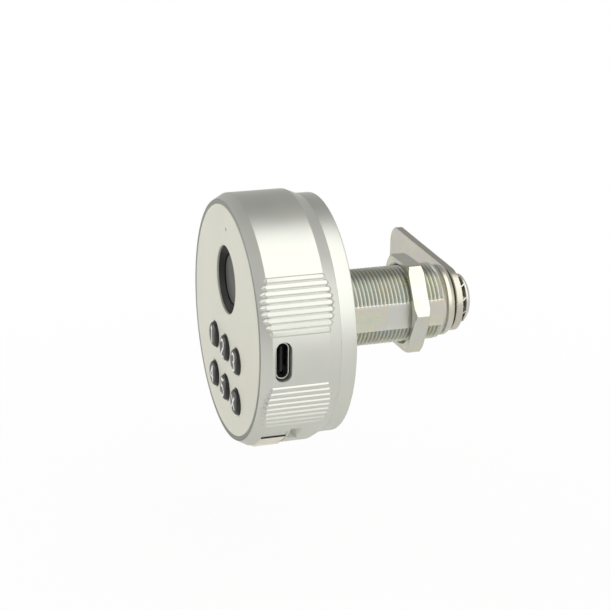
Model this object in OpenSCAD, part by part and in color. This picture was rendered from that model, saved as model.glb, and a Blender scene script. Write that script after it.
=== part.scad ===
// Fingerprint cam lock: a round keypad knob that turns a cam through a threaded barrel.
// Millimetres. The barrel axis is Y, the door plane is y = 0, the user stands on the -Y side,
// +Z is up and the charging port is on the +X side.

/* [Knob head] */
// Radius of the plain cylinder of the head
head_r = 30.6; // [24:0.1:40]
// How far the front rim and the rear base stand in from the cylinder
head_chamfer = 1.4; // [0.5:0.1:3]
// Distance from the door plane to the front face
head_depth = 23.25; // [18:0.05:32]
// Where the front chamfer meets the cylinder, from the door plane
front_edge = 20.7; // [15:0.05:30]
// Where the cylinder meets the rear chamfer, from the door plane
rear_edge = 7.1; // [5:0.05:12]
// Thickness of the fixed rear base
base_t = 3.6; // [2:0.1:6]
// Gap between the turning head and the fixed base
turn_gap = 0.3; // [0.2:0.05:0.6]
// Wall thickness of the head
wall_t = 3.6; // [2:0.1:5]
// Thickness of the floor of the head
floor_t = 2.5; // [1.5:0.1:4]

/* [Grip ribs] */
// Ribs in each group
ribs = 9; // [5:1:13]
// Angle between ribs in degrees
rib_pitch = 2.88; // [2:0.01:4]
// Angle from the port to the middle of a rib group
rib_group = 25.5; // [20:0.1:35]
// Height of a rib over the cylinder
rib_h = 0.3; // [0.1:0.05:0.8]
// Width of a rib at its foot
rib_w = 1.3; // [0.8:0.05:2]
// Width of a rib along its crest
rib_crest = 0.7; // [0.3:0.05:1.2]
// Half length of the middle rib of a group
rib_half = 8.9; // [5:0.1:9]
// How much shorter each half of an end rib is
rib_fade = 1.5; // [0:0.1:3]

/* [Face] */
// Width of the rim around the face plate
rim_w = 1.06; // [0.5:0.01:3]
// Thickness of the face plate
plate_t = 1.2; // [0.8:0.1:2]
// Height of the sensor centre over the axis
sensor_z = 10.26; // [8:0.01:14]
// Radius of the sensor opening
sensor_r = 8.3; // [6:0.05:10]
// Radius of the touch pad of the sensor
pad_r = 6.1; // [4:0.05:8]
// Depth of the touch pad under the face
pad_depth = 1.65; // [0.5:0.05:2]
// Key spacing across
key_dx = 9.62; // [8:0.01:12]
// Key spacing down
key_dz = 10.34; // [8:0.01:12]
// Height of the upper key row, under the axis
key_z = 7.08; // [5:0.01:10]
// Radius of a key cap
key_r = 3.2; // [2:0.05:4]
// How far a key dome stands over the face
key_up = 1.05; // [0.3:0.05:2]
// Key travel
key_travel = 0.4; // [0.2:0.05:0.8]
// Height of the status light over the axis
light_z = 22.85; // [20:0.01:26]
// Radius of the status light
light_r = 0.4; // [0.3:0.05:1]

/* [Port and battery] */
// Distance of the port centre from the door plane
port_y = 18.04; // [12:0.01:25]
// Long side of the port shell
port_l = 8.94; // [8.94:0.01:8.94]
// Short side of the port shell
port_w = 3.26; // [3.26:0.01:3.26]
// Half width of the battery opening
bay_x = 20.5; // [14:0.1:24]
// Front of the battery opening, from the door plane
bay_front = 20.55; // [18:0.05:24]
// Rear of the battery opening, from the door plane
bay_rear = 13.9; // [10:0.05:18]
// Diameter of the coin cell
cell_d = 24.5; // [20:0.1:30]
// Thickness of the coin cell
cell_t = 5; // [2:0.1:5]
// Gap between the cell and the bore of the head
cell_gap = 1.15; // [0.5:0.05:3]

/* [Barrel and cam] */
// Radius of the threaded barrel
barrel_r = 9.5; // [8:0.05:14]
// How deep each of the two flats cuts into the barrel
flat_depth = 0.57; // [0.3:0.01:1.5]
// End of the thread, from the door plane
thread_end = 29.6; // [20:0.1:40]
// Pitch of the thread
thread_pitch = 1; // [0.8:0.05:2]
// Depth of the thread
thread_depth = 0.5; // [0.3:0.05:0.8]
// End of the barrel, from the door plane
barrel_end = 32.8; // [22:0.1:45]
// How far the plain end of the barrel stands in from the thread
tail_step = 1.2; // [0.8:0.1:2.5]
// Wall of the nut at its flats, outside the thread
nut_wall = 1.6; // [1.2:0.1:5]
// Nut thickness
nut_t = 4; // [3:0.1:8]
// Front of the nut, from the door plane
nut_y = 20.85; // [2:0.05:25]
// Turn of the nut about the barrel in degrees
nut_turn = 3; // [0:1:60]
// Cam width
cam_w = 16; // [12:0.5:24]
// Reach of the cam from the axis
cam_reach = 39.3; // [25:0.1:60]
// Cam thickness
cam_t = 1.8; // [1.5:0.1:3]
// Radius of the cam corners
cam_corner = 5; // [1:0.5:8]
// Square of the spindle tail
square_w = 7; // [5:0.1:9]
// Radius of the cam screw head
screw_head_r = 6; // [4:0.1:7]
// Height of the cam screw head
screw_head_h = 2.3; // [1.5:0.1:4]

/* [Hidden] */
$fn = 96;
fit = 0.05;
slip = 0.1;
eps = 0.01;
rim_r = head_r - head_chamfer;
bore_r = head_r - wall_t;
plate_r = rim_r - rim_w;
barrel_flats = 2 * (barrel_r - flat_depth);
tail_r = barrel_r - tail_step;
nut_af = 2 * (barrel_r + nut_wall);
face_y = -head_depth;
plate_back = face_y + plate_t;
shell_back = -base_t - turn_gap;
floor_front = shell_back - floor_t;
neck_r = barrel_r + 2.5;
clip_t = 1;
clip_r = neck_r + 1.2;
clip_split = 7;
clip_y = floor_front - slip - clip_t;
neck_front = clip_y - 0.8;
groove_r = neck_r - 0.8;
hub_r = neck_r - 3;
hub_back = neck_front - 0.4;
hub_t = 3.8;
hub_front = hub_back - hub_t;
ring_t = 0.6;
spindle_front = hub_front - slip - ring_t - 0.3;
spindle_r = 5;
shoulder = barrel_end + 0.6;
cam_back = shoulder + cam_t;
washer_t = 1.1;
screw_r = 2.45;
screw_hole_r = 2.5;
screw_len = 11;
bay_flare = 2.6;
bay_bevel = 1.5;
nail_w = 1.6;
nail_depth = 1.1;
bay_y0 = -bay_front;
bay_y1 = -bay_rear;
tray_y0 = bay_y0 + slip;
tray_y1 = bay_y1 - slip;
cell_r = cell_d / 2;
cell_z = bore_r - cell_r - cell_gap;
tray_half = cell_r + 1.6;
tray_top = -cell_z + cell_r + 0.8;
cap_r = head_r - 0.1;
cap_in = bore_r + 0.3;
cap_rise = 14.2;
tray_floor = 0.7;
film_front = tray_y0 - 0.55;
film_t = 0.3;
film_margin = 2.5;
board_y = -port_y - 1.06;
board_t = 1;
board_r = bore_r - 1.2;
peg_r = 1.6;
peg_at = bore_r - 3.9;
peg_angles = [28, 66];
rail_t = 1.4;
port_x0 = bore_r - 5.2;
port_x1 = head_r - 1.6;
port_wall = 0.3;
sounder_r = 4;
sounder_t = 2.4;
sounder_at = [-15, 9];
frame_y = tray_y1 + 0.15;
frame_t = 1.2;
frame_r = bore_r - 0.6;
post_r = 3;
post_at = clip_r + post_r + 1.3;
frame_screw_r = 1.1;
frame_head_r = 2;
pin_r = 1.5;
pin_y = (hub_front + hub_back) / 2;
pin_low = hub_r - 1.4;
collar_z = pin_low + 2;
collar_t = 0.5;
coil_r = 3.6;
coil_z0 = neck_r + 2.6;
coil_z1 = bore_r - 3.5;
pin_top = coil_z1 - 2.5;
coil_wall = 1.2;
bracket_half = 5;
bracket_t = 1;
spring_wire = 0.2;
spring_turns = 4;
hub_flat = spindle_r - 1.1;
gasket_out = rim_r - 3.2;
gasket_in = gasket_out - 4;
gasket_t = 0.8;
keys = [[-1, 0], [0, 0], [1, 0], [-1, 1], [0, 1], [1, 1]];

satin = [0.75, 0.75, 0.72];
cream = [0.87, 0.85, 0.78];
plated = [0.72, 0.72, 0.66];
steel = [0.6, 0.61, 0.62];
black = [0.07, 0.07, 0.08];
grey = [0.35, 0.35, 0.34];
green = [0.1, 0.35, 0.2];
brass = [0.75, 0.6, 0.3];
rubber = [0.12, 0.12, 0.12];

// Which node to draw

// Helpers: turned() spins an (r, y) outline about the barrel axis, slab() gives an (x, z)
// outline a thickness from y0 to y1, and disc() is a plain cylinder along Y.
module turned(points) {
    rotate([-90, 0, 0]) rotate_extrude() polygon(points);
}

module slab(y0, y1) {
    translate([0, y0, 0]) rotate([-90, 0, 0]) linear_extrude(y1 - y0) mirror([0, 1, 0]) children();
}

module disc(r, y0, y1, x = 0, z = 0) {
    translate([x, y0, z]) rotate([-90, 0, 0]) cylinder(r = r, h = y1 - y0);
}

module box(x0, x1, y0, y1, z0, z1) {
    translate([x0, y0, z0]) cube([x1 - x0, y1 - y0, z1 - z0]);
}

// A slot with round ends, long way along Z, running along X
module stadium_x(l, w, x0, x1, y) {
    reach = (l - w) / 2;
    for (s = [-1, 1])
        translate([x0, y, s * reach]) rotate([0, 90, 0]) cylinder(r = w / 2, h = x1 - x0);
    box(x0, x1, y - w / 2, y + w / 2, -reach, reach);
}

module both_sides() {
    children();
    mirror([1, 0, 0]) children();
}

// Ribbed knob housing: each rib is a straight bar with sloped flanks, and the bars of a group
// get shorter from its middle to its ends, so that their tips run out over both chamfers.
module rib(angle, half) {
    foot = head_r - 2;
    mid = -(front_edge + rear_edge) / 2;
    rotate([0, -angle, 0]) translate([0, mid - half, 0])
        rotate([-90, 0, 0]) linear_extrude(2 * half)
            polygon([[foot, -rib_w / 2], [head_r, -rib_w / 2], [head_r + rib_h, -rib_crest / 2],
                     [head_r + rib_h, rib_crest / 2], [head_r, rib_w / 2], [foot, rib_w / 2]]);
}

module rib_group_bars() {
    middle = (ribs - 1) / 2;
    for (side = [-1, 1], i = [0 : ribs - 1])
        rib(side * (rib_group + (i - middle) * rib_pitch),
            rib_half - rib_fade * pow((i - middle) / middle, 2));
}

// The bars end in slopes that meet the chamfers
module rib_envelope() {
    top = head_r + rib_h;
    turned([[rim_r - 1, face_y + 0.4], [rim_r + 0.2, face_y + 0.4], [top, -front_edge - 0.5],
            [top, -rear_edge + 0.6], [rim_r + 0.2, shell_back - 0.5], [rim_r - 1, shell_back - 0.5]]);
}

module battery_opening() {
    lip = bay_x + bay_flare;
    lip_z = -sqrt(pow(head_r, 2) - pow(lip, 2));
    bay_z = -sqrt(pow(head_r, 2) - pow(bay_x, 2));
    box(-bay_x, bay_x, bay_y0, bay_y1, -head_r - 1, -bore_r / 3);
    both_sides() {
        slab(bay_y0, bay_y1 - 0.5)
            polygon([[lip, lip_z], [bay_x, lip_z - bay_bevel], [bay_x - 1, -head_r], [lip + 1, -head_r]]);
        difference() {
            box(bay_x - 2, lip + 0.4, bay_y1 - eps, bay_y1 + nail_w, bay_z - 1.8, lip_z);
            disc(head_r - nail_depth, bay_y1 - 1, bay_y1 + nail_w + 1);
        }
    }
}

module knob_shell() {
    color(satin) difference() {
        union() {
            turned([[0, face_y], [rim_r, face_y], [head_r, -front_edge], [head_r, -rear_edge],
                    [rim_r, shell_back], [0, shell_back]]);
            intersection() {
                both_sides() rib_group_bars();
                rib_envelope();
            }
        }
        disc(plate_r + 0.06, face_y - 1, plate_back);
        disc(bore_r, plate_back - eps, floor_front);
        disc(neck_r + fit, floor_front - 1, shell_back + 1);
        stadium_x(port_l + 0.8, port_w + 0.6, bore_r - 6, head_r + 2, -port_y);
        battery_opening();
        post_places() disc(frame_screw_r + slip, floor_front - 1, shell_back - 0.8);
    }
}

module post_places() {
    for (a = [45 : 90 : 315]) translate([post_at * cos(a), 0, post_at * sin(a)]) children();
}

module key_places() {
    for (k = keys) translate([k[0] * key_dx, 0, -key_z - k[1] * key_dz]) children();
}

module face_plate() {
    color(cream) difference() {
        disc(plate_r, face_y, plate_back);
        disc(sensor_r, face_y - 1, plate_back + 1, 0, sensor_z);
        key_places() disc(key_r + 0.12, face_y - 1, plate_back + 1);
        disc(light_r + fit, face_y - 1, plate_back + 1, 0, light_z);
    }
}

module sensor_bezel() {
    front = face_y + 0.5;
    well = face_y + pad_depth - 0.25;
    color(black) translate([0, 0, sensor_z]) turned([
        [pad_r + fit, well], [sensor_r - 0.35, front], [sensor_r - fit, front],
        [sensor_r - fit, plate_back], [sensor_r + 1.2, plate_back],
        [sensor_r + 1.2, plate_back + 1], [pad_r + fit, plate_back + 1]]);
}

module sensor_pad() {
    color(grey) disc(pad_r, face_y + pad_depth, board_y, 0, sensor_z);
}

module light_pipe() {
    color([0.9, 0.9, 0.85]) union() {
        disc(light_r, face_y + 0.15, plate_back, 0, light_z);
        disc(1, plate_back, board_y, 0, light_z);
    }
}

// A key is a domed cap on a flange that stays behind the plate, with a short stem
module key_cap(place) {
    flange_t = 0.45;
    crown = face_y - key_up;
    color(black) translate([place[0] * key_dx, 0, -key_z - place[1] * key_dz]) turned([
        [0, crown], [key_r - 1.4, crown + 0.1], [key_r - 0.45, crown + 0.45], [key_r, crown + 1.05],
        [key_r, plate_back + fit], [key_r + 0.7, plate_back + fit],
        [key_r + 0.7, plate_back + fit + flange_t], [1, plate_back + fit + flange_t],
        [1, film_front - key_travel - fit], [0, film_front - key_travel - fit]]);
}

module key_1() key_cap(keys[0]);
module key_2() key_cap(keys[1]);
module key_3() key_cap(keys[2]);
module key_4() key_cap(keys[3]);
module key_5() key_cap(keys[4]);
module key_cross() key_cap(keys[5]);

module keypad_film() {
    edge = key_r + film_margin;
    color(rubber) intersection() {
        box(-key_dx - edge, key_dx + edge, film_front, film_front + film_t,
            -key_z - key_dz - edge, -key_z + edge);
        disc(bore_r - 0.4, film_front - 1, film_front + 1);
    }
}

module main_board() {
    port_room = 3.4;
    past = board_y + board_t + 1;
    color(green) difference() {
        disc(board_r, board_y, board_y + board_t);
        box(-bore_r, bore_r, board_y - 1, past, -bore_r, tray_top + 0.8);
        box(port_x0 - port_room, bore_r, board_y - 1, past, -port_l, port_l / 2 + 0.25);
    }
}

module sounder() {
    back = board_y + board_t;
    color(black) disc(sounder_r, back, back + sounder_t, sounder_at[0], sounder_at[1]);
}

module port_shell() {
    inner = 2 * port_wall;
    color(steel) difference() {
        stadium_x(port_l, port_w, port_x0, port_x1, -port_y);
        stadium_x(port_l - inner, port_w - inner, port_x0 + 0.8, port_x1 + 1, -port_y);
    }
}

module port_tongue() {
    x0 = port_x0 + 0.8;
    inner = 2 * port_wall + 0.02;
    half = (port_l - inner) / 2 - 0.97;
    color(black) union() {
        stadium_x(port_l - inner, port_w - inner, x0, x0 + 1.6, -port_y);
        box(x0, port_x1 - 0.9, -port_y - 0.35, -port_y + 0.35, -half, half);
    }
}

// Chassis: a plate on four posts, with two rails that guide the battery tray and
// four pegs that carry the main board
module inner_frame() {
    rail_in = tray_half + 0.15;
    rail_front = film_front + film_t + 0.15;
    rail_low = -cell_z - 0.6 * cell_r;
    color(grey) difference() {
        union() {
            disc(frame_r, frame_y, frame_y + frame_t);
            post_places() disc(post_r, frame_y, floor_front);
            both_sides() box(rail_in, rail_in + rail_t, rail_front, frame_y + eps, rail_low, tray_top);
            both_sides() for (a = peg_angles)
                disc(peg_r, board_y + board_t, frame_y + eps, peg_at * cos(a), peg_at * sin(a));
        }
        disc(hub_r + 1.2, frame_y - 1, frame_y + frame_t + 1);
        box(-bay_x + 0.4, bay_x - 0.4, frame_y - 1, floor_front, -bore_r, rail_low - 1);
        box(-bracket_half - 0.4, bracket_half + 0.4, frame_y - 1, frame_y + frame_t + 1,
            hub_r - 1, coil_z1 + bracket_t + 0.5);
        post_places() disc(frame_screw_r + slip, frame_y - 1, floor_front + 1);
        post_places() disc(frame_head_r + slip, frame_y - 1, frame_y + frame_t + 0.2);
    }
}

module frame_screws() {
    cross_l = 0.6 * frame_head_r;
    cross_w = 0.25;
    color(steel) post_places() difference() {
        union() {
            disc(frame_head_r, frame_y + slip, frame_y + frame_t + 0.2);
            disc(frame_screw_r, frame_y + frame_t, shell_back - 1);
        }
        box(-cross_l, cross_l, frame_y - 1, frame_y + 0.7, -cross_w, cross_w);
        box(-cross_w, cross_w, frame_y - 1, frame_y + 0.7, -cross_l, cross_l);
    }
}

module clutch_bracket() {
    z0 = coil_z0 - coil_wall;
    z1 = coil_z1 + bracket_t;
    color(grey) difference() {
        box(-bracket_half, bracket_half, pin_y - coil_r - 0.5, floor_front, z0, z1);
        translate([0, pin_y, coil_z0]) cylinder(r = coil_r, h = z1);
        translate([0, pin_y, z0 - 1]) cylinder(r = pin_r + slip, h = z1);
    }
}

module clutch_coil() {
    color(brass) translate([0, pin_y, coil_z0]) difference() {
        cylinder(r = coil_r, h = coil_z1 - coil_z0);
        translate([0, 0, -1]) cylinder(r = pin_r + slip, h = coil_z1);
    }
}

module clutch_pin() {
    color(steel) translate([0, pin_y, pin_low]) union() {
        cylinder(r = pin_r, h = pin_top - pin_low);
        translate([0, 0, collar_z - pin_low]) cylinder(r = pin_r + 0.6, h = collar_t);
    }
}

// Wire wound about Z: a small ring of points swept along a helix, with its two ends closed
module wound_wire(r, wire, length, turns) {
    sides = 6;
    steps = 14 * turns;
    points = [for (i = [0 : steps], j = [0 : sides - 1])
        let (turn = 360 * turns * i / steps, b = 360 * j / sides, at = r + wire * cos(b))
            [at * cos(turn), at * sin(turn), length * i / steps + wire * sin(b)]];
    walls = [for (i = [0 : steps - 1], j = [0 : sides - 1])
        let (a = i * sides + j, b = i * sides + (j + 1) % sides) [a, b, b + sides, a + sides]];
    start = [for (j = [sides - 1 : -1 : 0]) j];
    end = [for (j = [0 : sides - 1]) steps * sides + j];
    polyhedron(points, concat([start], walls, [end]));
}

// Return spring of the pin, between its collar and the bracket
module clutch_spring() {
    z0 = collar_z + collar_t + spring_wire + eps;
    z1 = coil_z0 - coil_wall - spring_wire - eps;
    color(steel) translate([0, pin_y, z0])
        wound_wire(pin_r + slip + spring_wire, spring_wire, z1 - z0, spring_turns);
}

module battery_tray() {
    color(cream) difference() {
        intersection() {
            difference() {
                box(-bay_x + slip, bay_x - slip, tray_y0, tray_y1, -head_r, tray_top);
                both_sides() difference() {
                    box(tray_half, bay_x + 1, tray_y0 - 1, tray_y1 + 1, -head_r, tray_top + 1);
                    slab(tray_y0 - 2, tray_y1 + 2) difference() {
                        translate([0, -head_r]) square([bay_x + 2, cap_rise]);
                        circle(r = cap_in);
                    }
                }
            }
            disc(cap_r, tray_y0 - 1, tray_y1 + 1);
        }
        disc(cell_r + 0.2, tray_y0 + tray_floor, tray_y1 + 1, 0, -cell_z);
        box(-cell_r / 2, cell_r / 2, tray_y0 + tray_floor, tray_y1 + 1, -cell_z, tray_top + 1);
    }
}

module coin_cell() {
    y0 = tray_y0 + tray_floor;
    y1 = y0 + cell_t;
    color(steel) translate([0, 0, -cell_z]) turned([
        [0, y0], [cell_r - 1.6, y0], [cell_r - 1.6, y0 + 0.4], [cell_r - 0.2, y0 + 0.4],
        [cell_r, y0 + 0.8], [cell_r, y1 - 0.3], [cell_r - 0.3, y1], [0, y1]]);
}

// Two leaf contacts that pass through the slot in the tray
module battery_contacts() {
    gap = 2;
    leaf_w = 3;
    leaf_l = 8;
    low = 1.6 - cell_z;
    color(brass) both_sides()
        box(gap, gap + leaf_w, tray_y0 + tray_floor + cell_t + slip, frame_y, low, low + leaf_l);
}

module rear_base() {
    bevel = 0.35;
    color(satin) difference() {
        turned([[barrel_r, neck_front], [groove_r, neck_front], [neck_r, neck_front + 0.4],
                [neck_r, clip_y - fit], [groove_r, clip_y - fit], [groove_r, clip_y + clip_t + fit],
                [neck_r, clip_y + clip_t + fit], [neck_r, -base_t], [rim_r, -base_t],
                [rim_r, -bevel], [rim_r - bevel, 0], [barrel_r, 0]]);
        difference() {
            disc(gasket_out, -gasket_t, 1);
            disc(gasket_in, -gasket_t - 1, 2);
        }
    }
}

module base_gasket() {
    color(rubber) turned([[gasket_in, -gasket_t], [gasket_out, -gasket_t],
                          [gasket_out, -0.05], [gasket_in, -0.05]]);
}

module open_ring(r0, r1, y0, y1, gap) {
    difference() {
        disc(r1, y0, y1);
        disc(r0, y0 - 1, y1 + 1);
        box(-gap / 2, gap / 2, y0 - 1, y1 + 1, -r1 - 1, 0);
    }
}

module neck_clip() {
    color(steel) open_ring(groove_r, clip_r, clip_y, clip_y + clip_t, clip_split);
}

// Rod about Y with a one-start thread and two flats. Each turn of the thread has a crest row and
// a root row of points, which fall by the pitch round the rod, and column n of a row meets column 0 of
// the row two below it. The root rises to the crest where the thread meets a flat.
module threaded_rod(r, flat, pitch, depth, y0, y1) {
    edge = acos(flat / r);
    fade = 5;
    steps = 8;
    side = [-edge, edge, for (i = [0 : steps]) edge + fade + (180 - 2 * (edge + fade)) * i / steps];
    turn = concat(side, [for (a = side) a + 180]);
    n = len(turn);
    last = 2 * ceil((y1 - y0) / pitch) + 2;
    rows = [for (k = [0 : last], j = [0 : n - 1])
        let (plain = j % (n / 2) < 2, at = r - (k % 2 == 0 || plain ? 0 : depth))
            [at * cos(turn[j]), y0 + pitch * (k / 2 - turn[j] / 360), at * sin(turn[j])]];
    walls = [for (k = [0 : last - 1], j = [0 : n - 2])
        [k * n + j, k * n + j + 1, (k + 1) * n + j + 1, (k + 1) * n + j]];
    seam = [for (k = [2 : last - 1])
        [k * n + n - 1, (k - 2) * n, (k - 1) * n, (k + 1) * n + n - 1]];
    first_rim = concat([for (j = [0 : n - 1]) j], [2 * n - 1, 3 * n - 1]);
    last_rim = concat([for (j = [0 : n - 1]) last * n + j], [(last - 2) * n, (last - 1) * n]);
    m = len(first_rim);
    centre = len(rows);
    start = [for (i = [0 : m - 1]) [centre, first_rim[(i + 1) % m], first_rim[i]]];
    end = [for (i = [0 : m - 1]) [centre + 1, last_rim[i], last_rim[(i + 1) % m]]];
    polyhedron(concat(rows, [[0, y0, 0], [0, y0 + pitch * last / 2, 0]]),
               concat(walls, seam, start, end));
}

// Barrel: threaded outside with two flats, plain bevelled end, two bearing lands in the bore
module barrel() {
    land = 9;
    land_r = spindle_r + fit;
    relief = spindle_r + 0.6;
    bevel = 0.7;
    clear_r = barrel_r + 1;
    color(plated) difference() {
        union() {
            disc(barrel_r, neck_front, 0);
            intersection() {
                threaded_rod(barrel_r - eps, barrel_flats / 2, thread_pitch, thread_depth, 0, thread_end);
                turned([[0, -bevel / 2], [clear_r, -bevel / 2], [clear_r, thread_end - bevel - 1],
                        [barrel_r - bevel, thread_end], [0, thread_end]]);
            }
            turned([[0, thread_end - 1], [tail_r, thread_end - 1], [tail_r, barrel_end - bevel],
                    [tail_r - bevel, barrel_end], [0, barrel_end]]);
        }
        turned([[0, neck_front - 1], [land_r, neck_front - 1], [land_r, neck_front + land],
                [relief, neck_front + land + 0.5], [relief, barrel_end - land - 0.5],
                [land_r, barrel_end - land], [land_r, barrel_end + 1], [0, barrel_end + 1]]);
    }
}

module mounting_nut() {
    corner = nut_af / 2 / cos(30);
    drop = 0.5;
    y1 = nut_y + nut_t;
    hole = barrel_r + fit;
    sink = 0.6;
    color(plated) difference() {
        intersection() {
            translate([0, nut_y, 0]) rotate([-90, -nut_turn, 0]) cylinder(r = corner, h = nut_t, $fn = 6);
            turned([[0, nut_y], [corner - drop / tan(30), nut_y], [corner, nut_y + drop],
                    [corner, y1 - drop], [corner - drop / tan(30), y1], [0, y1]]);
        }
        turned([[0, nut_y - 1], [hole + sink, nut_y - 1], [hole + sink, nut_y], [hole, nut_y + sink],
                [hole, y1 - sink], [hole + sink, y1], [hole + sink, y1 + 1], [0, y1 + 1]]);
    }
}

module square_along(w, y0, y1) {
    box(-w / 2, w / 2, y0, y1, -w / 2, w / 2);
}

module double_d(r, flat, y0, y1) {
    intersection() {
        disc(r, y0, y1);
        box(-flat, flat, y0 - 1, y1 + 1, -r - 1, r + 1);
    }
}

module spindle() {
    color(steel) difference() {
        union() {
            double_d(spindle_r - 0.3, hub_flat, spindle_front, hub_back);
            disc(spindle_r, hub_back, shoulder);
            disc(tail_r - 1, barrel_end + 0.1, shoulder);
            intersection() {
                disc(spindle_r, shoulder - 1, cam_back - 0.2);
                square_along(square_w, shoulder - 1, cam_back - 0.2);
            }
        }
        disc(screw_hole_r, cam_back - screw_len, cam_back + 1);
        difference() {
            disc(spindle_r + 1, hub_front - slip - ring_t - fit, hub_front - slip + fit);
            disc(spindle_r - 1.1, hub_front - 4, hub_front + 2);
        }
    }
}

module drive_hub() {
    color(brass) difference() {
        disc(hub_r, hub_front, hub_back);
        double_d(spindle_r - 0.3 + fit, hub_flat + fit, hub_front - 1, hub_back + 1);
        translate([0, pin_y, pin_low - 0.2]) cylinder(r = pin_r + slip, h = 5);
    }
}

module hub_clip() {
    color(steel) open_ring(spindle_r - 1.1, spindle_r + 1.5, hub_front - slip - ring_t, hub_front - slip, 5.5);
}

module cam_plate() {
    half = cam_w / 2;
    tip = cam_reach - cam_corner;
    color(plated) difference() {
        union() {
            disc(half, shoulder, cam_back);
            box(-tip, 0, shoulder, cam_back, -half, half);
            box(-cam_reach, 0, shoulder, cam_back, -half + cam_corner, half - cam_corner);
            for (s = [-1, 1]) disc(cam_corner, shoulder, cam_back, -tip, s * (half - cam_corner));
        }
        intersection() {
            disc(spindle_r + fit, shoulder - 1, cam_back + 1);
            square_along(square_w + 2 * fit, shoulder - 2, cam_back + 2);
        }
    }
}

module star_washer() {
    teeth = 12;
    ring_r = screw_head_r - 1.1;
    sheet = 0.3;
    tooth_w = 1.15;
    tooth_l = 1.9;
    twist = 50;
    mid = cam_back + washer_t / 2;
    color(plated) difference() {
        union() {
            disc(ring_r, mid - sheet / 2, mid + sheet / 2);
            for (i = [0 : teeth - 1])
                rotate([0, i * 360 / teeth, 0]) translate([ring_r - 0.4, mid, 0]) rotate([-twist, 0, 0])
                    translate([0, -sheet / 2, -tooth_w / 2]) cube([tooth_l, sheet, tooth_w]);
        }
        disc(screw_r + 0.2, cam_back - 1, cam_back + 3);
    }
}

module cam_screw() {
    under = cam_back + washer_t;
    top = under + screw_head_h;
    slot_w = 1.1;
    slot_l = 5.2;
    color(plated) difference() {
        turned([[0, cam_back - screw_len + 0.6], [screw_r, cam_back - screw_len + 0.6], [screw_r, under],
                [screw_head_r, under], [screw_head_r, under + 0.9], [screw_head_r - 0.7, top - 0.5],
                [screw_head_r - 2.2, top], [0, top]]);
        for (a = [0, 90]) rotate([0, a, 0])
            box(-slot_l / 2, slot_l / 2, top - 1.5, top + 1, -slot_w / 2, slot_w / 2);
    }
}

knob_shell();
face_plate();
sensor_bezel();
sensor_pad();
light_pipe();
key_1();
key_2();
key_3();
key_4();
key_5();
key_cross();
keypad_film();
main_board();
sounder();
port_shell();
port_tongue();
inner_frame();
frame_screws();
clutch_bracket();
clutch_coil();
clutch_pin();
clutch_spring();
battery_tray();
coin_cell();
battery_contacts();
rear_base();
base_gasket();
neck_clip();
barrel();
mounting_nut();
spindle();
drive_hub();
hub_clip();
cam_plate();
star_washer();
cam_screw();
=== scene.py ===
"""Looks of the round fingerprint lock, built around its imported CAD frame.

Sizes are millimetres in the frame of the part: the barrel axis is Y, the door plane is y = 0,
the user stands on the -Y side, +Z is up and the charging port is on the +X side.
"""

import math

import bmesh
import bpy
import numpy as np
from mathutils import Matrix, Vector


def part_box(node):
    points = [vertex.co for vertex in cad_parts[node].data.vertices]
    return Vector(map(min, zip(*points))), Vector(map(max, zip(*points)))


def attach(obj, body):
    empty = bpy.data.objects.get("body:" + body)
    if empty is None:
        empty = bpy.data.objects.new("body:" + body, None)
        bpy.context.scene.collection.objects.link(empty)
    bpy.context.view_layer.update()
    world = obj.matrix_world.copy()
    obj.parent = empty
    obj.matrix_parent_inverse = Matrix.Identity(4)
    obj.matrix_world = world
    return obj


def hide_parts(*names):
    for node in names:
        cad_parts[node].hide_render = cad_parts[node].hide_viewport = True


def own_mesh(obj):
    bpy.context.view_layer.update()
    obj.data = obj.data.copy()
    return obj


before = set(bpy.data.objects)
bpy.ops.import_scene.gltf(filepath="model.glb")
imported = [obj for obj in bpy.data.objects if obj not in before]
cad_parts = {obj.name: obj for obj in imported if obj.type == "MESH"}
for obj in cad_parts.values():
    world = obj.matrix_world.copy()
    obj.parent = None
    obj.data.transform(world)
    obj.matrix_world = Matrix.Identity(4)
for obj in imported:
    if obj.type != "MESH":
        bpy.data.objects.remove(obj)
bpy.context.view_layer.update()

bpy.context.scene.view_settings.view_transform = "Standard"

MM = 0.001

# Camera, fitted to the photograph
CAMERA_AZIMUTH = 71.413
CAMERA_ELEVATION = 20.112
CAMERA_ROLL = 0.948
CAMERA_DISTANCE = 438.2
CAMERA_LENS = 105.73
CAMERA_SHIFT = (-0.02075, 0.00987)


def span(node):
    """Lowest and highest corner of a CAD node, in millimetres."""
    low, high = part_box(node)
    return np.array(low) / MM, np.array(high) / MM


# Driving sizes, read from the frame
HEAD_R = span("knob_shell")[1][2]
FACE_Y = span("knob_shell")[0][1]
SHELL_BACK = span("knob_shell")[1][1]
PLATE_R = span("face_plate")[1][0]
PLATE_BACK = span("face_plate")[1][1]
RIM_R = span("rear_base")[1][0]
NECK_FRONT = span("rear_base")[0][1]
CLIP_FRONT, CLIP_BACK = span("neck_clip")[0][1], span("neck_clip")[1][1]
BARREL_R = span("barrel")[1][2]
BARREL_FLAT = BARREL_R - 0.57
BARREL_END = span("barrel")[1][1]
NUT_FRONT, NUT_BACK = span("mounting_nut")[0][1], span("mounting_nut")[1][1]
CAM_FRONT, CAM_BACK = span("cam_plate")[0][1], span("cam_plate")[1][1]
CAM_HALF = span("cam_plate")[1][0]
CAM_REACH = -span("cam_plate")[0][0]
SCREW_END = span("cam_screw")[1][1]
SCREW_FRONT = span("cam_screw")[0][1]
SCREW_HEAD_R = span("cam_screw")[1][0]
PORT_LOW, PORT_HIGH = span("port_shell")
SENSOR_PAD_LOW, SENSOR_PAD_HIGH = span("sensor_pad")
SENSOR_Z = (SENSOR_PAD_LOW[2] + SENSOR_PAD_HIGH[2]) / 2
PAD_R = SENSOR_PAD_HIGH[0]
LIGHT_Z = (span("light_pipe")[0][2] + span("light_pipe")[1][2]) / 2
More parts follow.
